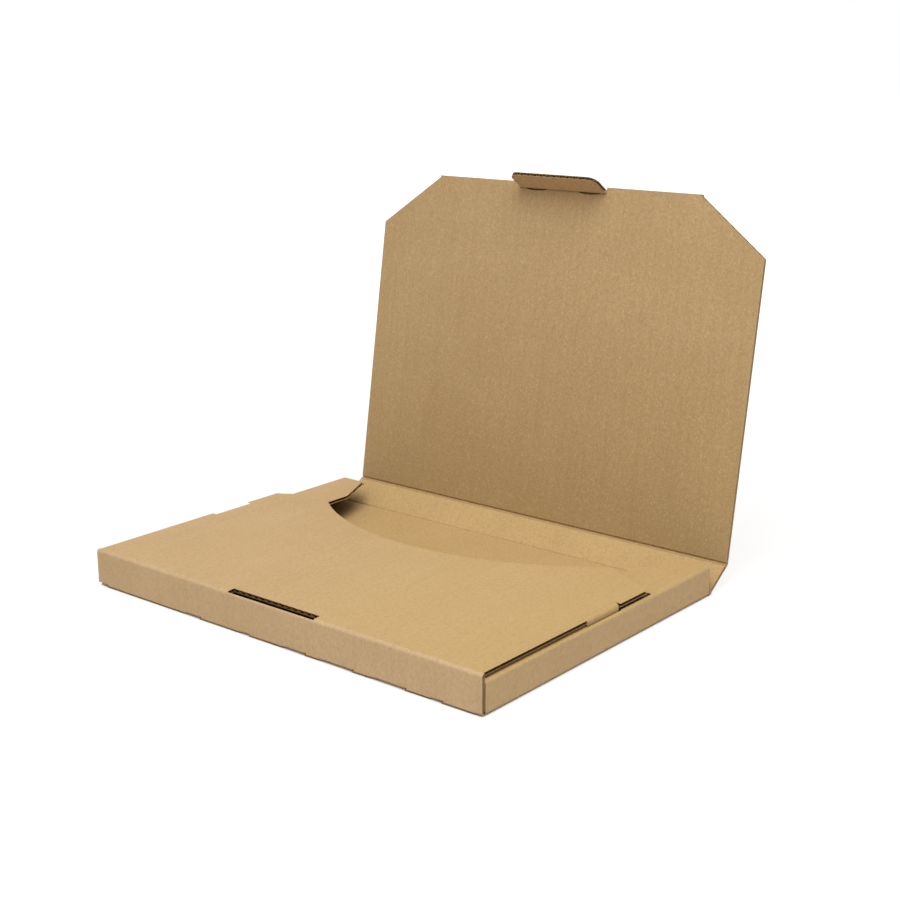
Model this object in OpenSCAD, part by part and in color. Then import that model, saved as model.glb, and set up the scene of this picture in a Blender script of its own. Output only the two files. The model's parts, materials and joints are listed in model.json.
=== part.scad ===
// Shallow mailer box of corrugated board, shown open: the rear wall leans back, the lid stands up
// and its tuck tab is bent forward. X runs along the width, Y to the rear and Z up.
// The origin is the centre of the underside, halfway between the front face and the rear face.

/* [Board] */
// Thickness of the corrugated board
board = 2.5; // [1.5:0.1:3.5]
// Inner radius of a fold that stays folded
fold_in = 0.4; // [0.2:0.1:1]

/* [Tray] */
// Outer width
box_w = 340; // [280:1:420]
// Outer depth, with the rear wall upright
box_d = 250; // [220:1:330]
// Height of the side flaps' top face
side_h = 21.5; // [18:0.5:60]
// Gap between the side flaps and the front panel that lies over them
panel_gap = 2; // [0.6:0.1:5]

/* [Side flaps] */
// Width of a side flap, from the wall's outer face
flap_w = 38.2; // [28:0.2:60]
// Cut-off at the flap's rear inner corner, measured across the box
flap_cut_x = 17; // [5:0.5:20]
// The same cut-off, measured along the box
flap_cut_y = 36; // [10:0.5:60]

/* [Front panel] */
// Distance of the panel's side edges from the walls' outer faces
panel_inset = 1.5; // [0.5:0.1:2.4]
// Distance from the front face to the rear end of the side edges
panel_side = 171.5; // [160:0.5:200]
// Slope of the rear edges beside the concave cut
panel_slope = 21.5; // [10:0.5:40]
// Radius of the concave cut
cut_r = 181; // [170:1:240]
// Distance from the front face to the deepest point of the concave cut
cut_start = 131.5; // [110:0.5:150]

/* [Locks] */
// Length of a lock tab along the box
lock_len = 35; // [15:1:50]
// Distance from the front face to the middle of the lock tabs
lock_mid = 123; // [90:0.5:128]
// How far a lock tab reaches down from the panel's top face
lock_reach = 15; // [9:0.5:15]
// Length of the slot behind the lock tab
lock_slot = 37; // [5:1:40]
// Drop of the slot's lip beside the lock tab
lip_drop = 1.1; // [0.4:0.1:2]

/* [Rear wall and lid] */
// Gap between the front panel and the closed lid
lid_gap = 0.8; // [0.4:0.1:3]
// Lean of the rear wall from upright
rear_lean = 56; // [0:1:90]
// Lean of the lid past upright
lid_lean = 9; // [0:1:30]
// Cut-off at the lid's front corners, measured across the lid
lid_cut_x = 55; // [10:0.5:70]
// The same cut-off, measured along the lid
lid_cut_y = 39.5; // [10:0.5:80]

/* [Tuck tab] */
// Width of the tuck tab
tab_w = 76; // [40:1:100]
// Length of the tuck tab from its fold
tab_len = 19.5; // [12:0.5:20]
// Radius of the tab's free corners
tab_r = 5; // [2:0.5:8]
// Bend of the tab from the lid's plane
tab_bend = 65; // [0:1:90]

/* [Clearances] */
// Gap at a fold that swings
hinge_gap = 0.3; // [0.2:0.1:0.6]
// Gap between two areas that only face each other
face_gap = 0.4; // [0.3:0.1:1]
// Gap at each end of a tab in its slot or notch
end_gap = 1; // [0.5:0.1:2]
// Gap in front of and behind a tab in its slot
slot_gap = 1.2; // [0.5:0.1:2]
// Length of the relief cuts at the ends of the front bottom fold
relief_len = 8; // [4:0.5:14]
// Height of the same relief cuts
relief_h = 1.6; // [0.6:0.1:2]

/* [Hidden] */
$fn = 64;
kraft = [0.78, 0.64, 0.44];
kraft_inner = [0.68, 0.55, 0.38];
half = board / 2;
fold_out = board + fold_in;
front_h = side_h + panel_gap + board;
front_y = -box_d / 2;
// Swinging folds turn about the middle of the board
rear_fold_y = box_d / 2 - half;
rear_len = front_h + lid_gap;
// A parent's edge ends this far before the axis, and the swinging area has a round nose on it
edge_back = half + hinge_gap;
side_front = front_y + board + face_gap;
side_rear = rear_fold_y - half - face_gap;
wide = box_w - 2 * hinge_gap;
lid_len = rear_fold_y - front_y - hinge_gap;
// The closed lid's tab stands against the inside of the front wall
tab_fold = rear_fold_y - front_y - board - face_gap - half;
slot_rear = front_y + board + face_gap + board + slot_gap;
// Lock tab: outer face of its hanging leg, and its two ends
leg_x = box_w / 2 - board - face_gap;
lock_front = front_y + lock_mid - lock_len / 2;
lock_rear = lock_front + lock_len;
panel_x = box_w / 2 - panel_inset;
panel_rear = front_y + panel_side;
// How far a cutting shape passes through what it cuts
over = 1;

// Quarter of a fold, from the +X axis to the +Y axis round its centre
module quarter_fold() {
    intersection() {
        difference() {
            circle(r = fold_out);
            circle(r = fold_in);
        }
        square(fold_out);
    }
}

// Wall with a fold at each end, seen along its length: outer face at x = 0, from 0 up to h.
// Both folds end at x = -fold_out.
module channel(h) {
    translate([-fold_out, h - fold_out]) quarter_fold();
    translate([-fold_out, fold_out]) mirror([0, 1]) quarter_fold();
    translate([-board, fold_out]) square([board, h - 2 * fold_out]);
}

// Turns a profile drawn in X and height, and extrudes it along Y from a to b
module along_y(a, b) {
    translate([0, b, 0]) rotate([90, 0, 0]) linear_extrude(b - a) children();
}

// Turns a profile drawn in Y and height, and extrudes it along X over the width w
module along_x(w) {
    translate([-w / 2, 0, 0]) rotate([90, 0, 90]) linear_extrude(w) children();
}

module bottom() {
    across = box_w - 2 * fold_out;
    translate([-across / 2, front_y + fold_out, 0])
        cube([across, rear_fold_y - edge_back - front_y - fold_out, board]);
}

// Right wall and its flap, with the slot for the lock tab
module side() {
    flap_in = box_w / 2 - flap_w;
    difference() {
        union() {
            along_y(side_front, side_rear) translate([box_w / 2, 0]) channel(side_h);
            translate([0, 0, side_h - board]) linear_extrude(board) polygon([
                [flap_in, side_front],
                [box_w / 2 - fold_out, side_front],
                [box_w / 2 - fold_out, side_rear],
                [flap_in + flap_cut_x, side_rear],
                [flap_in, side_rear - flap_cut_y]
            ]);
        }
        translate([leg_x - board - face_gap, lock_front - end_gap, side_h - fold_out])
            cube([board + 3 * face_gap, lock_len + lock_slot + end_gap, fold_out + over]);
        translate([leg_x, lock_front - end_gap, side_h - lip_drop])
            cube([box_w / 2 - leg_x + over, lock_len + 2 * end_gap, lip_drop + over]);
    }
}

// Front wall with its bottom and top folds
module front_wall() {
    difference() {
        along_x(wide) translate([front_y, 0]) mirror([1, 0]) channel(front_h);
        for (s = [-1, 1])
            translate([s * (wide - relief_len) / 2, front_y + fold_out / 2, relief_h / 2 - over / 2])
                cube([relief_len + over, fold_out + 2 * over, relief_h + over], center = true);
    }
}

// Outline of the front panel, behind the top fold
module panel_outline() {
    rise = panel_x * tan(panel_slope);
    notch = leg_x - fold_out;
    difference() {
        polygon([
            [-panel_x, front_y + fold_out],
            [panel_x, front_y + fold_out],
            [panel_x, panel_rear],
            [0, panel_rear + rise],
            [-panel_x, panel_rear]
        ]);
        translate([0, front_y + cut_start + cut_r]) circle(r = cut_r, $fn = 128);
        for (s = [0, 1]) mirror([s, 0]) translate([notch, lock_front - end_gap])
            square([box_w / 2, lock_len + 2 * end_gap]);
    }
}

// Right lock tab, bent down from the panel through the slot in the side fold
module lock_tab() {
    along_y(lock_front, lock_rear) translate([leg_x, front_h]) {
        translate([-fold_out, -fold_out]) quarter_fold();
        translate([-board, -lock_reach]) square([board, lock_reach - fold_out]);
    }
}

// Slot for the tuck tab, through the top fold's upper half and into the panel
module front_slot() {
    along_x(tab_w + 2 * end_gap) translate([front_y + fold_out, front_h - fold_out]) polygon([
        [0, 0],
        [-fold_out - over, fold_out + over],
        [slot_rear - front_y - fold_out, fold_out + over],
        [slot_rear - front_y - fold_out, 0]
    ]);
}

module tray() {
    color(kraft) {
        bottom();
        side();
        mirror([1, 0, 0]) side();
        lock_tab();
        mirror([1, 0, 0]) lock_tab();
        difference() {
            union() {
                front_wall();
                translate([0, 0, front_h - board]) linear_extrude(board) panel_outline();
            }
            front_slot();
        }
    }
}

// Places a swinging area: its fold is the X axis, and it runs along +Y with its inner face up
module at_rear_fold() {
    translate([0, rear_fold_y, half]) rotate([90 - rear_lean, 0, 0]) children();
}

module at_lid_fold() {
    at_rear_fold() translate([0, rear_len, 0]) rotate([rear_lean - lid_lean, 0, 0]) children();
}

module at_tab_fold() {
    at_lid_fold() translate([0, tab_fold, 0]) rotate([tab_bend, 0, 0]) children();
}

// Round nose of a swinging area, on its fold's axis
module nose(w) {
    rotate([0, 90, 0]) cylinder(r = half, h = w, center = true);
}

module rear_wall() {
    color(kraft_inner) at_rear_fold() {
        nose(wide);
        translate([-wide / 2, 0, -half]) cube([wide, rear_len - edge_back, board]);
    }
}

module lid() {
    notch_w = tab_w + 2 * end_gap;
    color(kraft_inner) at_lid_fold() {
        nose(wide);
        translate([0, 0, -half]) linear_extrude(board) difference() {
            polygon([
                [-wide / 2, 0],
                [wide / 2, 0],
                [wide / 2, lid_len - lid_cut_y],
                [wide / 2 - lid_cut_x, lid_len],
                [lid_cut_x - wide / 2, lid_len],
                [-wide / 2, lid_len - lid_cut_y]
            ]);
            translate([-notch_w / 2, tab_fold - edge_back]) square([notch_w, tab_len]);
        }
    }
}

module tuck_tab() {
    color(kraft_inner) at_tab_fold() {
        nose(tab_w);
        translate([0, 0, -half]) linear_extrude(board) {
            translate([-tab_w / 2, 0]) square([tab_w, tab_len - tab_r]);
            translate([tab_r - tab_w / 2, 0]) square([tab_w - 2 * tab_r, tab_len]);
            for (s = [-1, 1]) translate([s * (tab_w / 2 - tab_r), tab_len - tab_r]) circle(r = tab_r);
        }
    }
}

tray();
rear_wall();
lid();
tuck_tab();
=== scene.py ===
import json
import math

import bmesh
import bpy
from mathutils import Matrix, Vector


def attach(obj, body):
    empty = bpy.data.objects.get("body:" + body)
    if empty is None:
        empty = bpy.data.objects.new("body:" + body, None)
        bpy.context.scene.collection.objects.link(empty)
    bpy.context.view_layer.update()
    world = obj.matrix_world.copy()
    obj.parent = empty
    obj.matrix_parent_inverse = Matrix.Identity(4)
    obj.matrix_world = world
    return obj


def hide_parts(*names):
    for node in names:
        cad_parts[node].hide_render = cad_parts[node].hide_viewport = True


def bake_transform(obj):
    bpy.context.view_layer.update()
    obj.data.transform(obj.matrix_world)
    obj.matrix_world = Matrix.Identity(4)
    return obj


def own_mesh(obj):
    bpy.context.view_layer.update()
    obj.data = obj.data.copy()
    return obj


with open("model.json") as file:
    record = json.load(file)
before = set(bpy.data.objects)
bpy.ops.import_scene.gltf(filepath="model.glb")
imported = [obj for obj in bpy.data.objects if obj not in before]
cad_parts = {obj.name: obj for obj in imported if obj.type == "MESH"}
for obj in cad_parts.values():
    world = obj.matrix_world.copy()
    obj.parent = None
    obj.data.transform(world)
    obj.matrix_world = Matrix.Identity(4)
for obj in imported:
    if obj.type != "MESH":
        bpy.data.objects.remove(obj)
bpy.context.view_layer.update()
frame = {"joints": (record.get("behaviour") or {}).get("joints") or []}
print("frame loaded")

mm = 0.001
quarter = math.radians(90)
tiny = 1e-5

# the corrugated sheet that everything is folded from
board = {
    "thickness": 2.5 * mm,
    "linerPaper": 0.24 * mm,
    "mediumPaper": 0.2 * mm,
    "flutePitch": 5.8 * mm,
    "stepsPerFlute": 10,
    "foldRadius": 2.3 * mm,  # outer radius of a fold that stays folded
    "foldSteps": 7,
}
halfBoard = board["thickness"] / 2
deepAsBoard = 3 * mm  # a little more than the board's thickness
clearAbove = 2 * mm  # how far a cutter stands out of what it cuts
# depths of the two liners' middles below the outer face
outerDepth = board["linerPaper"] / 2
innerDepth = board["thickness"] - board["linerPaper"] / 2


def onlySelected(piece):
    bpy.ops.object.select_all(action="DESELECT")
    piece.select_set(True)
    bpy.context.view_layer.objects.active = piece


def startEdit(piece, mode="VERT"):
    onlySelected(piece)
    bpy.ops.object.mode_set(mode="EDIT")
    bpy.ops.mesh.select_mode(type=mode)
    bpy.ops.mesh.select_all(action="DESELECT")


def endEdit():
    bpy.ops.object.mode_set(mode="OBJECT")


def pickVertices(piece, wanted):
    bm = bmesh.from_edit_mesh(piece.data)
    for vertex in bm.verts:
        vertex.select = wanted(vertex.co)
    bm.select_flush_mode()
    bmesh.update_edit_mesh(piece.data)


def pickFaces(piece, wanted):
    bm = bmesh.from_edit_mesh(piece.data)
    for face in bm.faces:
        face.select_set(wanted(face.calc_center_median()))
    bmesh.update_edit_mesh(piece.data)


def keepPlace(piece):
    onlySelected(piece)
    bpy.ops.object.transform_apply(location=True, rotation=True, scale=True)


def nameIt(name):
    piece = bpy.context.object
    piece.name = name
    piece.data.name = name
    return piece


def applyModifier(piece, kind, **settings):
    onlySelected(piece)
    modifier = piece.modifiers.new(kind.title(), kind)
    for setting, value in settings.items():
        setattr(modifier, setting, value)
    bpy.ops.object.modifier_apply(modifier=modifier.name)


# merges doubles and turns the faces outwards
def closeUp(piece):
    startEdit(piece)
    bpy.ops.mesh.select_all(action="SELECT")
    bpy.ops.mesh.remove_doubles(threshold=1e-6)
    bpy.ops.mesh.normals_make_consistent(inside=False)
    endEdit()


def thicken(piece, thickness):
    applyModifier(piece, "SOLIDIFY", thickness=thickness, offset=0, use_even_offset=True)
    closeUp(piece)


def cutAway(piece, cutter):
    applyModifier(piece, "BOOLEAN", operation="DIFFERENCE", solver="EXACT", object=cutter)
    bpy.data.objects.remove(cutter)


def trimBeyond(piece, point, normal, wanted=None):
    startEdit(piece, "FACE")
    if wanted is None:
        bpy.ops.mesh.select_all(action="SELECT")
    else:
        pickFaces(piece, wanted)
    bpy.ops.mesh.bisect(plane_co=point, plane_no=normal, clear_outer=True)
    endEdit()


# block between two opposite corners, in either order
def addBlock(one, other, name="cutter"):
    size = [abs(b - a) for a, b in zip(one, other)]
    middle = [(a + b) / 2 for a, b in zip(one, other)]
    bpy.ops.mesh.primitive_cube_add(size=1, location=middle)
    bpy.context.object.scale = size
    block = nameIt(name)
    keepPlace(block)
    return block


def joinAll(name, pieces):
    onlySelected(pieces[0])
    for piece in pieces[1:]:
        piece.select_set(True)
    bpy.ops.object.join()
    return nameIt(name)


def liftBy(piece, height):
    piece.location.z += height
    keepPlace(piece)


# flat sheet on z = 0, from low to high along y
def addSheet(width, low, high, columns=1, rows=1):
    bpy.ops.mesh.primitive_grid_add(x_subdivisions=columns, y_subdivisions=rows, size=1,
                                    location=(0, (low + high) / 2, 0))
    bpy.context.object.scale = (width, high - low, 1)
    sheet = nameIt("sheet")
    keepPlace(sheet)
    return sheet


# medium of the corrugated board: one wave modelled, then repeated across the width
def addFlutes(width, low, high, rows=1):
    pitch = board["flutePitch"]
    count = math.ceil(width / pitch / 2) * 2
    middle = (pitch * (1 - count) / 2, (low + high) / 2, 0)
    bpy.ops.mesh.primitive_grid_add(x_subdivisions=board["stepsPerFlute"], y_subdivisions=rows,
                                    size=1, location=middle)
    bpy.context.object.scale = (pitch, high - low, 1)
    wave = nameIt("flutes")
    keepPlace(wave)
    swell = halfBoard - board["linerPaper"] - board["mediumPaper"] / 2
    for vertex in wave.data.vertices:
        vertex.co.z = swell * math.cos(2 * math.pi * vertex.co.x / pitch)
    applyModifier(wave, "ARRAY", count=count, use_relative_offset=False,
                  use_constant_offset=True, constant_offset_displace=(pitch, 0, 0),
                  use_merge_vertices=True, merge_threshold=tiny)
    for side in (1, -1):
        trimBeyond(wave, (side * width / 2, 0, 0), (side, 0, 0))
    return wave


# distance from the outer corner at which a liner's fold begins: the inner liner folds sharply
def cornerOf(depth):
    return max(board["foldRadius"], depth)


# turns the picked edge round a fold; the new edge stays picked
def foldOn(centre, axis, turn, depth):
    if cornerOf(depth) > depth:
        bpy.ops.mesh.spin(steps=board["foldSteps"], angle=-turn, center=centre, axis=axis)


def drawOn(shift):
    bpy.ops.mesh.extrude_region_move(TRANSFORM_OT_translate={"value": shift})


print("tools ready")

# kraft paper: colours in linear light, and the sizes of what shows in them
paper = {
    "outerLight": (0.635, 0.438, 0.226),
    "outerDark": (0.595, 0.405, 0.204),
    # painted warm light, mixed in on top surfaces towards the right
    "paintedWarmLight": (0.585, 0.388, 0.155),
    # the front wall's outer paper, a little lighter and bluer: painted cool light that falls on the
    # wall from the side
    "wallLight": (0.642, 0.448, 0.248),
    "wallDark": (0.602, 0.416, 0.226),
    "innerLight": (0.535, 0.360, 0.178),
    "innerDark": (0.495, 0.326, 0.156),
    # painted shade for the inner paper low down, near the lid's fold
    "innerShade": (0.35, 0.222, 0.075),
    "nookShade": (0.045, 0.028, 0.012),
    # a lighter copy of the inner paper for the rear wall and the tray's inside: painted light, as
    # they take more light than the lid
    "wellLight": (0.608, 0.411, 0.180),
    "wellDark": (0.568, 0.378, 0.162),
    "mediumLight": (0.36, 0.22, 0.095),
    "mediumDark": (0.26, 0.15, 0.06),
    "darkFibreAndRippleShade": (0.36, 0.235, 0.105),
    "fibreLight": (0.80, 0.60, 0.34),
    "roughness": 0.84,
    "specular": 0.22,
    # slow changes of tone, over a few centimetres; then the reach of painted warm light and of
    # painted shade low down
    "toneScale": 22,
    "toneRange": (0.25, 0.75),
    "warmLightAcross": (-0.06, 0.17),
    "warmLightAbove": (0.019, 0.021),
    "shadeHeights": (0.17, 0.02),
    # felted fibres, light fibres, dark specks, lines along the flutes, and painted shade where the
    # liner ripples over the flutes
    "feltScale": 620,
    "feltStretch": (1, 0.7, 0.7),
    "feltRange": (0.42, 0.68),
    "fibreScale": 760,
    "fibreRange": (0.52, 0.74),
    "fibreShare": 0.8,
    "speckScale": 980,
    "speckRange": (0.66, 0.72),
    "speckShare": 1.4,
    "lineScale": 260,
    "lineRange": (0.46, 0.70),
    "rippleShadeShare": 0.3,
    "rippleShadeWander": 0.8,
    # painted shade in narrow places
    "nookRange": (0.72, 0.15),
    "nookShare": 0.85,
    "nookSamples": 8,
    "bumpStrength": 0.25,
    "bumpHeight": 0.2 * mm,
}


# the first share is of fibres and the second of flute lines and of painted shade where the liner
# ripples over the flutes, and flow stretches the lines along the flutes; the last three give the
# share of painted warm light, the share of painted shade low down, and how far painted shade in
# narrow places reaches, and are left at 0 where none is painted
def kraftMaterial(name, kind, grain, flow, streakAndRippleShade, warmLightShare=0, shade=0, nook=0):
    material = bpy.data.materials.new(name)
    material.use_nodes = True
    nodes, links = material.node_tree.nodes, material.node_tree.links
    shader = nodes["Principled BSDF"]
    shader.inputs["Roughness"].default_value = paper["roughness"]
    shader.inputs["Specular IOR Level"].default_value = paper["specular"]
    place = nodes.new("ShaderNodeTexCoord")

    def noise(scale, detail, stretch=(1, 1, 1)):
        mapping = nodes.new("ShaderNodeMapping")
        mapping.inputs["Scale"].default_value = stretch
        links.new(place.outputs["Object"], mapping.inputs["Vector"])
        texture = nodes.new("ShaderNodeTexNoise")
        texture.inputs["Scale"].default_value = scale
        texture.inputs["Detail"].default_value = detail
        links.new(mapping.outputs["Vector"], texture.inputs["Vector"])
        return texture.outputs["Fac"]

    def ramp(source, low, high, top=1.0):
        limits = nodes.new("ShaderNodeMapRange")
        limits.inputs["From Min"].default_value = low
        limits.inputs["From Max"].default_value = high
        limits.inputs["To Max"].default_value = top
        links.new(source, limits.inputs["Value"])
        return limits.outputs["Result"]

    def layer(share, under, over):
        mix = nodes.new("ShaderNodeMix")
        mix.data_type = "RGBA"
        links.new(share, mix.inputs["Factor"])
        colours = [socket for socket in mix.inputs if socket.type == "RGBA"]
        for socket, value in zip(colours, (under, over)):
            if isinstance(value, tuple):
                socket.default_value = (*value, 1)
            else:
                links.new(value, socket)
        return [socket for socket in mix.outputs if socket.type == "RGBA"][0]

    slow = ramp(noise(paper["toneScale"], 2), *paper["toneRange"])
    tone = layer(slow, paper[kind + "Dark"], paper[kind + "Light"])
    # painted warm light on top surfaces, a little more towards the right, and painted shade on the
    # inner paper, darker the lower it lies, as near the lid's fold
    parts = nodes.new("ShaderNodeSeparateXYZ")
    links.new(place.outputs["Object"], parts.inputs[0])
    product = nodes.new("ShaderNodeMath")
    product.operation = "MULTIPLY"
    links.new(ramp(parts.outputs["X"], *paper["warmLightAcross"], warmLightShare), product.inputs[0])
    links.new(ramp(parts.outputs["Z"], *paper["warmLightAbove"]), product.inputs[1])
    tone = layer(product.outputs[0], tone, paper["paintedWarmLight"])
    # painted shade, darker the lower the inner paper lies
    low = ramp(parts.outputs["Z"], *paper["shadeHeights"], shade)
    tone = layer(low, tone, paper["innerShade"])
    # felted fibres, about a millimetre long
    felt = noise(paper["feltScale"], 4, paper["feltStretch"])
    tone = layer(ramp(felt, *paper["feltRange"], grain), tone, paper["darkFibreAndRippleShade"])
    fibres = ramp(noise(paper["fibreScale"], 3), *paper["fibreRange"], paper["fibreShare"] * grain)
    tone = layer(fibres, tone, paper["fibreLight"])
    # scattered darker specks
    specks = ramp(noise(paper["speckScale"], 1), *paper["speckRange"], paper["speckShare"] * grain)
    tone = layer(specks, tone, paper["darkFibreAndRippleShade"])
    # lines along the flutes
    lines = noise(paper["lineScale"], 2, flow)
    tone = layer(ramp(lines, *paper["lineRange"], streakAndRippleShade), tone, paper["darkFibreAndRippleShade"])
    # painted shade in bands at the flute pitch, where the liner ripples over the flutes
    wave = nodes.new("ShaderNodeTexWave")
    wave.wave_type = "BANDS"
    wave.bands_direction = "X"
    # the bands turn by 20 radians a metre at scale 1
    wave.inputs["Scale"].default_value = 2 * math.pi / (board["flutePitch"] * 20)
    wave.inputs["Distortion"].default_value = paper["rippleShadeWander"]
    links.new(place.outputs["Object"], wave.inputs["Vector"])
    bands = ramp(wave.outputs["Fac"], 0, 1, paper["rippleShadeShare"] * streakAndRippleShade)
    tone = layer(bands, tone, paper["darkFibreAndRippleShade"])
    # painted shade where an ambient occlusion node finds the paper closed in
    if nook:
        closed = nodes.new("ShaderNodeAmbientOcclusion")
        closed.samples = paper["nookSamples"]
        closed.inputs["Distance"].default_value = nook
        narrow = ramp(closed.outputs["AO"], *paper["nookRange"], paper["nookShare"])
        tone = layer(narrow, tone, paper["nookShade"])
    links.new(tone, shader.inputs["Base Color"])
    height = nodes.new("ShaderNodeMath")
    height.operation = "ADD"
    links.new(felt, height.inputs[0])
    links.new(lines, height.inputs[1])
    bump = nodes.new("ShaderNodeBump")
    bump.inputs["Strength"].default_value = paper["bumpStrength"]
    bump.inputs["Distance"].default_value = paper["bumpHeight"]
    links.new(height.outputs[0], bump.inputs["Height"])
    links.new(bump.outputs["Normal"], shader.inputs["Normal"])
    return material


alongDepth, alongHeight = (1, 0.04, 1), (1, 0.04, 0.04)
# the outer paper takes painted warm light on its top surfaces, towards the right
outerKraft = kraftMaterial("outer kraft", "outer", 0.24, alongDepth, 0.07, warmLightShare=0.8)
panelKraft = kraftMaterial("panel kraft", "outer", 0.24, alongHeight, 0.07, warmLightShare=0.8)
# the front wall takes a lighter, bluer copy of the outer paper, painted cool light
coolLitFrontKraft = kraftMaterial("front kraft painted cool light", "wall", 0.26, alongHeight, 0.08)
# the inner paper takes painted shade low down
innerKraft = kraftMaterial("inner kraft", "inner", 0.42, alongHeight, 0.13, shade=0.38)
# the rear wall and the tray's inside take the inner paper painted lighter
litInnerKraft = kraftMaterial("inner kraft painted lighter", "well", 0.34, alongHeight, 0.08, nook=30 * mm)
# the fluted paper takes painted shade where it is closed in, as inside the open flutes
flutedPaper = kraftMaterial("fluted paper", "medium", 0.3, alongHeight, 0.1, nook=4 * mm)
print("paper ready")


def coverWith(piece, *materials):
    for material in materials:
        piece.data.materials.append(material)


# faces that the test picks take the piece's second material
def coverSome(piece, wanted):
    for face in piece.data.polygons:
        face.material_index = 1 if wanted(face) else 0


# tray: bottom, side walls and side flaps, with the flutes running front to rear
tray = {
    "halfWidth": 170 * mm,
    "front": -122.1 * mm,
    "rear": 122.1 * mm,
    "bottomFront": -122.7 * mm,
    "bottomRear": 120.75 * mm,
    "sideHeight": 21.5 * mm,
    "flapEdge": 131.8 * mm,
    "flapCut": (17 * mm, 36 * mm),
    "tunnel": 2.5 * mm,  # open flute along the flap's edge
    "slotAcross": (164.2 * mm, 167.9 * mm),
    "slotAlong": (-20.5 * mm, 52.5 * mm),
    "lipAlong": (-20.5 * mm, 16.5 * mm),
    "lipDrop": 0.35 * mm,
}


def flapCorner(piece, side):
    cutX, cutY = tray["flapCut"]
    trimBeyond(piece, (side * tray["flapEdge"], tray["rear"] - cutY, 0), (-side * cutY, cutX, 0),
               lambda co: co.z > tray["sideHeight"] - deepAsBoard and co.x * side > 0)


def traySheet(depth, material):
    corner = cornerOf(depth)
    flat = tray["halfWidth"] - corner
    height = tray["sideHeight"]
    sheet = addSheet(2 * flat, tray["front"], tray["rear"])
    liftBy(sheet, depth)
    for side in (1, -1):
        startEdit(sheet)
        pickVertices(sheet, lambda co: abs(co.x - side * flat) < tiny)
        foldOn((side * flat, 0, corner), (0, 1, 0), -side * quarter, depth)
        drawOn((0, 0, height - 2 * corner))
        foldOn((side * flat, 0, height - corner), (0, 1, 0), -side * quarter, depth)
        drawOn((side * (tray["flapEdge"] - flat), 0, 0))
        endEdit()
        flapCorner(sheet, side)
    for edge, end in (("front", "bottomFront"), ("rear", "bottomRear")):
        startEdit(sheet)
        pickVertices(sheet, lambda co: co.z < depth + tiny and abs(co.y - tray[edge]) < tiny)
        bpy.ops.transform.translate(value=(0, tray[end] - tray[edge], 0))
        endEdit()
    thicken(sheet, board["linerPaper"])
    coverWith(sheet, material)
    return sheet


def cutLockSlots(piece):
    inner, outer = tray["slotAcross"]
    top = tray["sideHeight"]
    for side in (1, -1):
        start, end = tray["slotAlong"]
        cutAway(piece, addBlock((side * inner, start, top - deepAsBoard),
                                (side * outer, end, top + clearAbove)))
        start, end = tray["lipAlong"]
        cutAway(piece, addBlock((side * inner, start, top - tray["lipDrop"]),
                                (side * (tray["halfWidth"] + mm), end, top + clearAbove)))


def trayFlutes():
    corner = cornerOf(innerDepth)
    flat = tray["halfWidth"] - corner
    bottom = addFlutes(2 * flat, tray["bottomFront"], tray["bottomRear"])
    liftBy(bottom, halfBoard)
    parts = [bottom]
    for side in (1, -1):
        wall = addFlutes(tray["sideHeight"] - 2 * corner, tray["front"], tray["rear"])
        wall.rotation_euler.y = quarter
        wall.location = (side * (tray["halfWidth"] - halfBoard), 0, tray["sideHeight"] / 2)
        keepPlace(wall)
        inner = tray["flapEdge"] + tray["tunnel"]
        flap = addFlutes(flat - inner, tray["front"], tray["rear"])
        flap.location = (side * (flat + inner) / 2, 0, tray["sideHeight"] - halfBoard)
        keepPlace(flap)
        flapCorner(flap, side)
        parts += [wall, flap]
    flutes = joinAll("tray_flutes", parts)
    thicken(flutes, board["mediumPaper"])
    coverWith(flutes, flutedPaper)
    return flutes


trayLiner = joinAll("tray_liner", [traySheet(outerDepth, outerKraft),
                                   traySheet(innerDepth, litInnerKraft)])
cutLockSlots(trayLiner)
closeUp(trayLiner)
trayMedium = trayFlutes()
cutLockSlots(trayMedium)
print("tray made")

# front wall with its folds, and the front panel that runs back over the side flaps
front = {
    "face": -125 * mm,
    "halfWidth": 169.7 * mm,
    "height": 26 * mm,
    "columns": 170,
    "panelHalfWidth": 168.5 * mm,
    "panelRear": 70 * mm,  # before its rear edge is cut
    "panelColumns": 60,
    "panelRows": 32,
    "tunnel": 3 * mm,  # open flute along the panel's sides
    "fluteRows": 12,
    "panelSide": 46.5 * mm,  # where the side edges end
    "panelSlope": math.radians(21.5),
    "arcRadius": 181 * mm,
    "arcStart": 6.5 * mm,
    "arcSteps": 320,
    "arcDepth": 60 * mm,
    "arch": 4.8 * mm,  # how far the free middle springs up, where the arc begins
    "archHalfWidth": 165 * mm,
    "slotHalf": 38.3 * mm,
    "slotRear": -118.4 * mm,
    "slotFront": 25.2 * mm,  # height of the wall's edge in front of the slot
    "slotUnder": 22.5 * mm,  # height from which the slot is cut out of the panel
    # stretches of the bottom fold that are cut through and hang straight, along x, in mm
    "cutFolds": ((-161, -77), (-66, -24), (-19, 14), (30, 47), (70, 89), (112, 135), (140, 168)),
    "cutRise": 0.6,  # over how many mm each stretch begins
    "cutFade": 5,  # and ends
    "cutDrop": 1.25 * mm,  # height of the dark strip below the wall there: the cut edge, with painted shade of the gap under the wall
    "edgeInset": 0.1 * mm,
    "edgeLift": 0.05 * mm,
    "edgeShort": 1.5 * mm,  # how far the dark strip ends before its stretch
    "edgeTaper": (-3 * mm, 0.5 * mm, 0),
    "creaseDent": 1.3 * mm,  # how far the fold is pressed in between the cuts
    "creaseWay": (0, 0.7, 0.45),
    "cornerCut": (7.5 * mm, 1.7 * mm),
    "cornerEnd": 0.1 * mm,
}
panelStart = front["face"] + board["foldRadius"]
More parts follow.
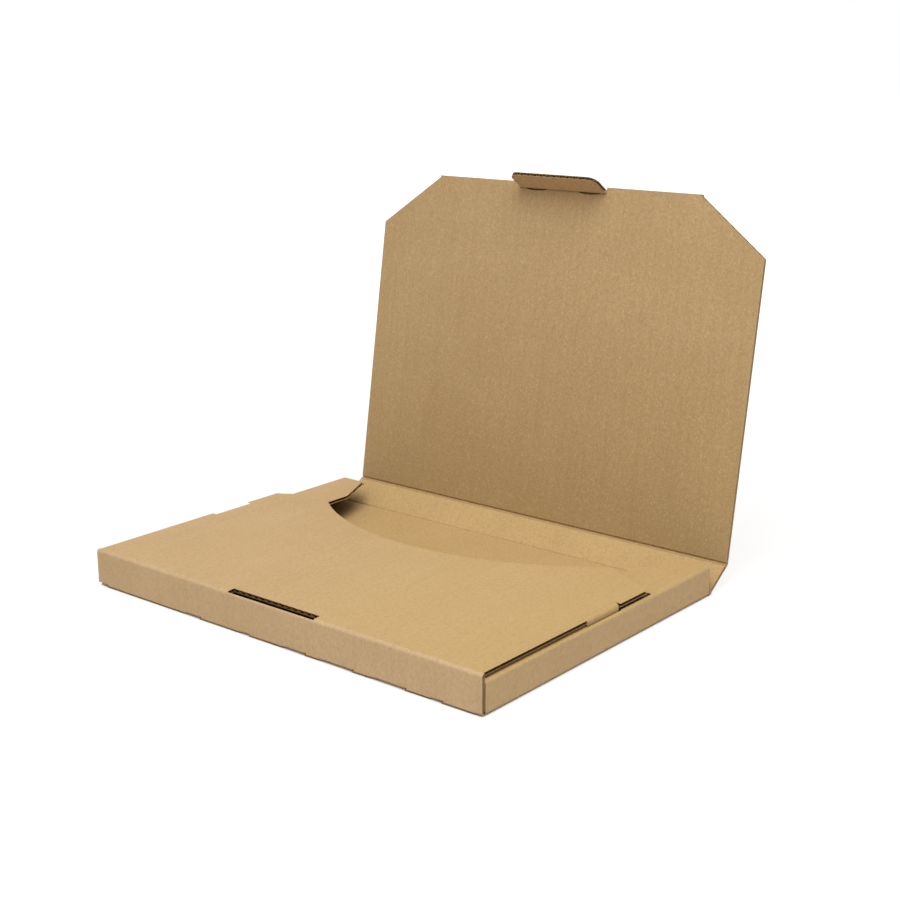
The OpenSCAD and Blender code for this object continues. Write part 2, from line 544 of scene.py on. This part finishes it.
lock = {
    "front": -19.5 * mm,
    "rear": 15.5 * mm,
    "leg": 167.1 * mm,
    "foldRadius": 2.9 * mm,
    "foot": 11 * mm,
    "startWidth": 0.6 * mm,  # what is left flat before the fold
    "rows": 8,
    "notchHeights": (20 * mm, 40 * mm),
}


def archUp(piece):
    for vertex in piece.data.vertices:
        across = max(0.0, 1 - (vertex.co.x / front["archHalfWidth"]) ** 2)
        along = max(0.0, (vertex.co.y - panelStart) / (front["arcStart"] - panelStart))
        vertex.co.z += front["arch"] * across * along


def arcCutter():
    radius = front["arcRadius"]
    middle = (0, front["arcStart"] + radius, front["height"])
    bpy.ops.mesh.primitive_cylinder_add(vertices=front["arcSteps"], radius=radius,
                                        depth=front["arcDepth"], location=middle)
    cutter = nameIt("cutter")
    keepPlace(cutter)
    return cutter


def trimPanelRear(piece):
    slope = front["panelSlope"]
    for side in (1, -1):
        trimBeyond(piece, (side * front["panelHalfWidth"], front["panelSide"], 0),
                   (side * math.sin(slope), math.cos(slope), 0))


# the tuck tab's slot takes the whole top fold and the panel's first few millimetres
def slotCutter(low):
    half = front["slotHalf"]
    return addBlock((-half, front["face"] - mm, low),
                    (half, front["slotRear"], front["height"] + clearAbove))


# removes the panel's edge where the lock tabs turn down
def cutLockNotches(piece):
    low, high = lock["notchHeights"]
    for side in (1, -1):
        cutAway(piece, addBlock((side * tray["slotAcross"][0], lock["front"], low),
                                (side * (tray["halfWidth"] + mm), lock["rear"], high)))


def frontWallSheet(depth, material):
    corner = cornerOf(depth)
    fold = front["face"] + corner
    top = front["height"] - corner
    wall = addSheet(2 * front["halfWidth"], corner, top, columns=front["columns"])
    wall.rotation_euler.x = quarter
    wall.location.y = front["face"] + depth
    keepPlace(wall)
    startEdit(wall)
    pickVertices(wall, lambda co: co.z > top - tiny)
    foldOn((0, fold, top), (1, 0, 0), -quarter, depth)
    bpy.ops.mesh.select_all(action="DESELECT")
    pickVertices(wall, lambda co: co.z < corner + tiny)
    foldOn((0, fold, corner), (1, 0, 0), quarter, depth)
    endEdit()
    return wall


# 1 inside a cut stretch of the bottom fold, 0 where it is only creased
def cutShare(x):
    share = 0.0
    for low, high in front["cutFolds"]:
        rise = (x / mm - low) / front["cutRise"]
        fade = (high - x / mm) / front["cutFade"]
        share = max(share, min(rise, fade, 1.0))
    return share


def straightenCuts(wall, depth):
    corner = cornerOf(depth)
    for vertex in wall.data.vertices:
        if vertex.co.z < corner - 1e-6:
            down = (corner - vertex.co.z) / corner
            height = corner - down * (corner - front["cutDrop"])
            straight = Vector((vertex.co.x, front["face"] + depth, height))
            dent = front["creaseDent"] * math.sin(math.pi * down)
            creased = vertex.co + Vector(front["creaseWay"]) * dent
            vertex.co = creased.lerp(straight, cutShare(vertex.co.x))


# slanted cut at the wall's lower left end
def cornerCutter():
    width, height = front["cornerCut"]
    end = -front["halfWidth"] - mm
    block = addBlock((end, front["face"] - mm, -mm),
                     (width - front["halfWidth"], panelStart, height))
    startEdit(block)
    pickVertices(block, lambda co: co.x > end + mm and co.z > 0)
    bpy.ops.transform.translate(value=(0, 0, front["cornerEnd"] - height))
    endEdit()
    return block


outerWall = frontWallSheet(outerDepth, coolLitFrontKraft)
straightenCuts(outerWall, outerDepth)
thicken(outerWall, board["linerPaper"])
coverWith(outerWall, coolLitFrontKraft)
innerWall = frontWallSheet(innerDepth, innerKraft)
thicken(innerWall, board["linerPaper"])
coverWith(innerWall, innerKraft)
frontWall = joinAll("front_wall_liner", [outerWall, innerWall])
cutAway(frontWall, slotCutter(front["slotFront"]))
cutAway(frontWall, cornerCutter())
closeUp(frontWall)

frontFlutes = addFlutes(2 * front["halfWidth"], innerDepth, front["height"] - innerDepth)
frontFlutes.rotation_euler.x = quarter
frontFlutes.location.y = front["face"] + halfBoard
keepPlace(frontFlutes)
thicken(frontFlutes, board["mediumPaper"])
coverWith(frontFlutes, flutedPaper)
frontFlutes.name = "front_wall_flutes"

# crushed edge of the bottom, seen below each cut stretch: a solid dark strip, partly the board's
# cut edge and partly painted shade in the gap under the wall
edgeAndGapShadeStrips = []
for low, high in front["cutFolds"]:
    right = high * mm - front["edgeShort"]
    near = front["face"] + front["edgeInset"]
    far = tray["bottomFront"] + front["edgeInset"]
    edge = addBlock((low * mm, near, front["edgeLift"]), (right, far, front["cutDrop"]), "edge_and_gap_shade_strip")
    startEdit(edge)
    pickVertices(edge, lambda co: co.x > right - tiny and co.y < near + tiny)
    bpy.ops.transform.translate(value=front["edgeTaper"])
    endEdit()
    coverWith(edge, flutedPaper)
    edgeAndGapShadeStrips.append(edge)
bottomEdgeAndGapShade = joinAll("front_edge_and_gap_shade", edgeAndGapShadeStrips)


def panelSheet(name, depth, material):
    sheet = addSheet(2 * front["panelHalfWidth"], front["face"] + cornerOf(depth),
                     front["panelRear"], columns=front["panelColumns"], rows=front["panelRows"])
    liftBy(sheet, front["height"] - depth)
    trimPanelRear(sheet)
    archUp(sheet)
    thicken(sheet, board["linerPaper"])
    cutAway(sheet, arcCutter())
    cutAway(sheet, slotCutter(front["slotUnder"]))
    cutLockNotches(sheet)
    closeUp(sheet)
    coverWith(sheet, material)
    sheet.name = name
    return sheet


panelTop = panelSheet("front_panel_top", outerDepth, panelKraft)
panelUnder = panelSheet("front_panel_under", innerDepth, innerKraft)
# the under liner takes the dark fluted paper inside the board and at its cut edges: painted shade
# along the panel's side edges
coverWith(panelUnder, flutedPaper)
coverSome(panelUnder, lambda face: face.normal.z > -0.5)
# the flutes stop short of the side edges, which look into an open tunnel
panelFlutes = addFlutes(2 * (front["panelHalfWidth"] - front["tunnel"]), front["slotRear"],
                        front["panelRear"], rows=front["fluteRows"])
liftBy(panelFlutes, front["height"] - halfBoard)
trimPanelRear(panelFlutes)
archUp(panelFlutes)
thicken(panelFlutes, board["mediumPaper"])
cutAway(panelFlutes, arcCutter())
cutLockNotches(panelFlutes)
coverWith(panelFlutes, flutedPaper)
panelFlutes.name = "front_panel_flutes"
print("front wall and panel made")

# lock tabs: each turns down from the panel into the slot of a side fold
def lockSheet(side, depth, material):
    bend = lock["leg"] - lock["foldRadius"]
    turn = front["height"] - lock["foldRadius"]
    strip = addSheet(lock["startWidth"], lock["front"], lock["rear"], rows=lock["rows"])
    strip.location = (side * (bend - lock["startWidth"] / 2), 0, front["height"] - depth)
    keepPlace(strip)
    startEdit(strip)
    pickVertices(strip, lambda co: co.x * side > bend - tiny)
    bpy.ops.mesh.spin(steps=board["foldSteps"], angle=-side * quarter,
                      center=(side * bend, 0, turn), axis=(0, 1, 0))
    drawOn((0, 0, lock["foot"] - turn))
    endEdit()
    thicken(strip, board["linerPaper"])
    coverWith(strip, material)
    return strip


# the inner liner takes the dark fluted paper, as under the panel: painted shade at its cut edges
lockLiners = ((outerDepth, outerKraft), (innerDepth, flutedPaper))
lockTabs = joinAll("lock_tabs", [lockSheet(side, depth, material)
                                 for side in (1, -1) for depth, material in lockLiners])
closeUp(lockTabs)
print("lock tabs made")

# swinging areas, each drawn flat from its own fold, then turned to its place
foldPlace = {joint["name"]: joint["pos_m"] for joint in frame["joints"]}
swing = {
    "rearAngle": math.radians(34),
    "lidAngle": math.radians(81),
    "tabAngle": math.radians(146),
    "halfWidth": 169.7 * mm,
    "rearLength": 26.8 * mm,
    "lidLength": 248.45 * mm,
    "lidCut": (55 * mm, 39.5 * mm),
    "tabAxis": 244.6 * mm,
    "tabHalfWidth": 38.2 * mm,
    "tabLength": 20 * mm,
    "tabCorner": 7 * mm,
    "cornerSteps": 10,
    "outlineDepth": 6 * mm,
    "knifeCut": 0.2 * mm,  # width of the cut beside the tab
    "reach": 3 * mm,  # each crease is its own strip, this far each side of its axis
}
reach = swing["reach"]


def turnInto(piece, point, angle):
    piece.matrix_world = Matrix.Translation(point) @ Matrix.Rotation(angle, 4, "X")
    keepPlace(piece)


# an outer and an inner liner from one flat sheet, which ends as the inner one
def twoLiners(sheet, name, inner):
    thicken(sheet, board["linerPaper"])
    gap = innerDepth - outerDepth
    liftBy(sheet, -gap / 2)
    applyModifier(sheet, "ARRAY", count=2, use_relative_offset=False, use_constant_offset=True,
                  constant_offset_displace=(0, 0, gap))
    coverWith(sheet, outerKraft, inner)
    coverSome(sheet, lambda face: face.center.z > 0)
    sheet.name = name
    return sheet


def mediumOf(piece, name):
    thicken(piece, board["mediumPaper"])
    coverWith(piece, flutedPaper)
    piece.name = name
    return piece


def trimLidCorners(piece):
    cutX, cutY = swing["lidCut"]
    for side in (1, -1):
        trimBeyond(piece, (side * (swing["halfWidth"] - cutX), swing["lidLength"], 0),
                   (side * cutY, cutX, 0))


def cutLidNotch(piece):
    half = swing["tabHalfWidth"] + swing["knifeCut"]
    depth = 2 * board["thickness"]
    cutAway(piece, addBlock((-half, swing["tabAxis"] - reach, -depth),
                            (half, swing["tabAxis"] + swing["tabLength"], depth)))


def tabOutline():
    sheet = addSheet(2 * swing["tabHalfWidth"], reach, swing["tabLength"])
    startEdit(sheet)
    pickVertices(sheet, lambda co: co.y > swing["tabLength"] - tiny)
    bpy.ops.mesh.bevel(affect="VERTICES", offset=swing["tabCorner"], segments=swing["cornerSteps"])
    endEdit()
    return sheet


rearSheet = addSheet(2 * swing["halfWidth"], reach, swing["rearLength"] - reach)
rearLiner = twoLiners(rearSheet, "rear_wall_liner", litInnerKraft)
rearFlutes = addFlutes(2 * swing["halfWidth"], reach, swing["rearLength"] - reach)
rearFlutes = mediumOf(rearFlutes, "rear_wall_flutes")

lidSheet = addSheet(2 * swing["halfWidth"], reach, swing["lidLength"])
trimLidCorners(lidSheet)
lidLiner = twoLiners(lidSheet, "lid_liner", innerKraft)
cutLidNotch(lidLiner)
lidFlutes = addFlutes(2 * swing["halfWidth"], reach, swing["lidLength"])
trimLidCorners(lidFlutes)
lidFlutes = mediumOf(lidFlutes, "lid_flutes")
cutLidNotch(lidFlutes)

tabLiner = twoLiners(tabOutline(), "tuck_tab_liner", innerKraft)
tabShape = tabOutline()
thicken(tabShape, swing["outlineDepth"])
tabFlutes = addFlutes(2 * swing["tabHalfWidth"], reach, swing["tabLength"])
tabFlutes = mediumOf(tabFlutes, "tuck_tab_flutes")
applyModifier(tabFlutes, "BOOLEAN", operation="INTERSECT", solver="EXACT", object=tabShape)
bpy.data.objects.remove(tabShape)

for area, fold, angle in (((rearLiner, rearFlutes), "rear_fold", "rearAngle"),
                          ((lidLiner, lidFlutes), "lid_fold", "lidAngle"),
                          ((tabLiner, tabFlutes), "tab_fold", "tabAngle")):
    for piece in area:
        turnInto(piece, foldPlace[fold], swing[angle])
    closeUp(area[0])
print("rear wall, lid and tuck tab made")

# creases between the swinging areas: crushed board, bent to the angles between them
crease = {
    "groove": 0.9 * mm,  # depth of the lid's crease
    "softGroove": 0.4 * mm,  # and of the two others
    "grooveWidth": 0.7 * mm,
    "bulge": 0.2,  # share of the groove that shows on the other side
    "bendReach": 1.55 * mm,
    "rows": 16,
    "columnWidth": 4 * mm,
    "slitMiddle": -0.5 * mm,
    "slitWidth": 3.2 * mm,
    "slitDepth": 1.4 * mm,
    "slitSteps": 56,
    "tabSlits": ((-33.6, -15), (14.2, 32.6)),  # cuts in the tab's crease, along x, in mm
    "wallGap": 0.1 * mm,  # behind the side walls' ends
}


def smooth(share):
    share = min(1.0, max(0.0, share))
    return share * share * (3 - 2 * share)


def addCrease(name, halfWidth, point, angle, bend, paperKind, groove, slits=()):
    strip = addSheet(2 * halfWidth, -reach, reach,
                     columns=int(halfWidth / crease["columnWidth"]), rows=crease["rows"])
    thicken(strip, board["thickness"])
    for low, high in slits:
        middle = ((low + high) / 2 * mm, crease["slitMiddle"], halfBoard)
        bpy.ops.mesh.primitive_cylinder_add(vertices=crease["slitSteps"], radius=1,
                                            depth=2 * crease["slitDepth"], location=middle)
        bpy.context.object.scale = ((high - low) / 2 * mm, crease["slitWidth"] / 2, 1)
        cutter = nameIt("cutter")
        keepPlace(cutter)
        cutAway(strip, cutter)
    coverWith(strip, paperKind, flutedPaper)
    slitFloor = halfBoard - crease["slitDepth"] - tiny
    coverSome(strip, lambda face: slitFloor < face.center.z < halfBoard - tiny
              and abs(face.center.y) < reach - tiny and abs(face.center.x) < halfWidth - mm)
    for vertex in strip.data.vertices:
        along, height = vertex.co.y, vertex.co.z
        dent = math.exp(-(along / crease["grooveWidth"]) ** 2) * groove
        height -= dent if height > 0 else -crease["bulge"] * dent
        turn = bend * smooth((along / crease["bendReach"] + 1) / 2)
        vertex.co.y = along * math.cos(turn) - height * math.sin(turn)
        vertex.co.z = along * math.sin(turn) + height * math.cos(turn)
    turnInto(strip, point, angle)
    strip.name = name
    return strip


lidBend = swing["lidAngle"] - swing["rearAngle"]
tabBend = swing["tabAngle"] - swing["lidAngle"]
rearCrease = addCrease("rear_crease", swing["halfWidth"], foldPlace["rear_fold"], 0,
                       swing["rearAngle"], litInnerKraft, crease["softGroove"])
# beside the side walls' ends the strip is only as wide as the bottom
flatHalf = tray["halfWidth"] - board["foldRadius"]
for vertex in rearCrease.data.vertices:
    if vertex.co.y < tray["rear"] + crease["wallGap"] and abs(vertex.co.x) > flatHalf:
        vertex.co.x = math.copysign(flatHalf, vertex.co.x)
lidCrease = addCrease("lid_crease", swing["halfWidth"], foldPlace["lid_fold"],
                      swing["rearAngle"], lidBend, innerKraft, crease["groove"])
tabCrease = addCrease("tab_crease", swing["tabHalfWidth"], foldPlace["tab_fold"],
                      swing["lidAngle"], tabBend, innerKraft, crease["softGroove"],
                      crease["tabSlits"])
print("creases made")

# each piece's body and finish
rides = (
    ("tray", "board", (trayLiner, trayMedium, frontWall, frontFlutes, bottomEdgeAndGapShade, panelTop,
                       panelUnder, panelFlutes, lockTabs)),
    ("rear_wall", "board_inner", (rearLiner, rearFlutes)),
    ("lid", "board_inner", (lidLiner, lidFlutes)),
    ("tuck_tab", "board_inner", (tabLiner, tabFlutes)),
)
for body, slotName, pieces in rides:
    for piece in pieces:
        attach(piece, body)
bends = (
    (rearCrease, "tray", "rear_wall", foldPlace["rear_fold"], 0, swing["rearAngle"]),
    (lidCrease, "rear_wall", "lid", foldPlace["lid_fold"], swing["rearAngle"], lidBend),
    (tabCrease, "lid", "tuck_tab", foldPlace["tab_fold"], swing["lidAngle"], tabBend),
)
for piece, before, after, point, angle, bend in bends:
    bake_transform(piece)
# the sprung panel's pieces, listed with the heights of their flat levels, each get a mesh of their
# own
for piece, level in ((panelTop, 26 * mm), (panelUnder, 23.6 * mm), (panelFlutes, 24.75 * mm)):
    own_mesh(piece)
for piece, node in ((trayLiner, "tray"), (rearLiner, "rear_wall"), (lidLiner, "lid"),
                    (tabLiner, "tuck_tab")):
    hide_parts(node)

# floor, light and camera
stage = {
    "floorHeight": -0.1 * mm,
    "floorSize": 14,
    "floorTone": 0.68,
    "glowNear": 0.6,  # share of plain white that the camera sees on the floor near the box
    "glowRange": (0.35, 1.1),  # distances over which it rises to the whole
    "glowStrength": 1.27,
    "contactReach": 4 * mm,
    "contactRange": (0.35, 0.7),
    "worldLight": 0.37,
    "lampPower": 39.5,
    "lampSize": 1.8,
    "lampPlace": (0.6, -0.8, 1.85),
    "fillPower": 12.0,  # low lamp behind the lid
    "fillSize": 1.2,
    "fillPlace": (-0.5, 1.9, 0.45),
    "lampAim": (0, 0, 0.08),
    "lens": 61.65,
    "sensor": 36,
    "cameraPlace": (661.28 * mm, -746.24 * mm, 372.53 * mm),
    "cameraRight": (0.77083, 0.63703, -0.00288),
    "cameraDown": (0.16625, -0.20554, -0.96442),
    "cameraAhead": (-0.61496, 0.74293, -0.26434),
}


def floorMaterial():
    material = bpy.data.materials.new("pale floor")
    material.use_nodes = True
    nodes, links = material.node_tree.nodes, material.node_tree.links
    shader = nodes["Principled BSDF"]
    shader.inputs["Base Color"].default_value = (*[stage["floorTone"]] * 3, 1)
    shader.inputs["Roughness"].default_value = 1

    def ramp(source, low, high, bottom, top):
        limits = nodes.new("ShaderNodeMapRange")
        limits.inputs["From Min"].default_value = low
        limits.inputs["From Max"].default_value = high
        limits.inputs["To Min"].default_value = bottom
        limits.inputs["To Max"].default_value = top
        links.new(source, limits.inputs["Value"])
        return limits.outputs["Result"]

    def times(one, other):
        product = nodes.new("ShaderNodeMath")
        product.operation = "MULTIPLY"
        links.new(one, product.inputs[0])
        links.new(other, product.inputs[1])
        return product.outputs[0]

    distance = nodes.new("ShaderNodeVectorMath")
    distance.operation = "LENGTH"
    links.new(nodes.new("ShaderNodeTexCoord").outputs["Object"], distance.inputs[0])
    far = ramp(distance.outputs["Value"], *stage["glowRange"], stage["glowNear"], 1)
    # a fine dark line stays where the box touches the floor
    contact = nodes.new("ShaderNodeAmbientOcclusion")
    contact.inputs["Distance"].default_value = stage["contactReach"]
    clear = ramp(contact.outputs["AO"], *stage["contactRange"], 0, 1)
    seen = nodes.new("ShaderNodeLightPath").outputs["Is Camera Ray"]
    mixer = nodes.new("ShaderNodeMixShader")
    links.new(times(times(far, clear), seen), mixer.inputs[0])
    links.new(shader.outputs[0], mixer.inputs[1])
    glow = nodes.new("ShaderNodeEmission")
    glow.inputs["Strength"].default_value = stage["glowStrength"]
    links.new(glow.outputs[0], mixer.inputs[2])
    links.new(mixer.outputs[0], nodes["Material Output"].inputs["Surface"])
    return material


bpy.ops.mesh.primitive_plane_add(size=stage["floorSize"], location=(0, 0, stage["floorHeight"]))
floor = nameIt("floor")
keepPlace(floor)
coverWith(floor, floorMaterial())

world = bpy.data.worlds.new("studio")
bpy.context.scene.world = world
world.use_nodes = True
nodes, links = world.node_tree.nodes, world.node_tree.links
surround = nodes["Background"]
white = nodes.new("ShaderNodeBackground")
for background, strength in ((surround, stage["worldLight"]), (white, 1)):
    background.inputs["Color"].default_value = (1, 1, 1, 1)
    background.inputs["Strength"].default_value = strength
mixer = nodes.new("ShaderNodeMixShader")
links.new(nodes.new("ShaderNodeLightPath").outputs["Is Camera Ray"], mixer.inputs[0])
links.new(surround.outputs[0], mixer.inputs[1])
links.new(white.outputs[0], mixer.inputs[2])
links.new(mixer.outputs[0], nodes["World Output"].inputs["Surface"])

for name in ("lamp", "fill"):
    lampData = bpy.data.lights.new(name, "AREA")
    lampData.energy = stage[name + "Power"]
    lampData.size = stage[name + "Size"]
    softbox = bpy.data.objects.new(name, lampData)
    bpy.context.scene.collection.objects.link(softbox)
    softbox.visible_camera = False
    softbox.location = stage[name + "Place"]
    aim = Vector(stage["lampAim"]) - softbox.location
    softbox.rotation_euler = aim.to_track_quat("-Z", "Y").to_euler()

cameraData = bpy.data.cameras.new("camera")
cameraData.lens = stage["lens"]
cameraData.sensor_width = stage["sensor"]
camera = bpy.data.objects.new("camera", cameraData)
bpy.context.scene.collection.objects.link(camera)
right, down, ahead = (Vector(stage[way]) for way in ("cameraRight", "cameraDown", "cameraAhead"))
facing = Matrix((right, -down, -ahead)).transposed().to_4x4()
camera.matrix_world = Matrix.Translation(stage["cameraPlace"]) @ facing
bpy.context.scene.camera = camera
bpy.context.scene.view_settings.view_transform = "Standard"
print("stage set")
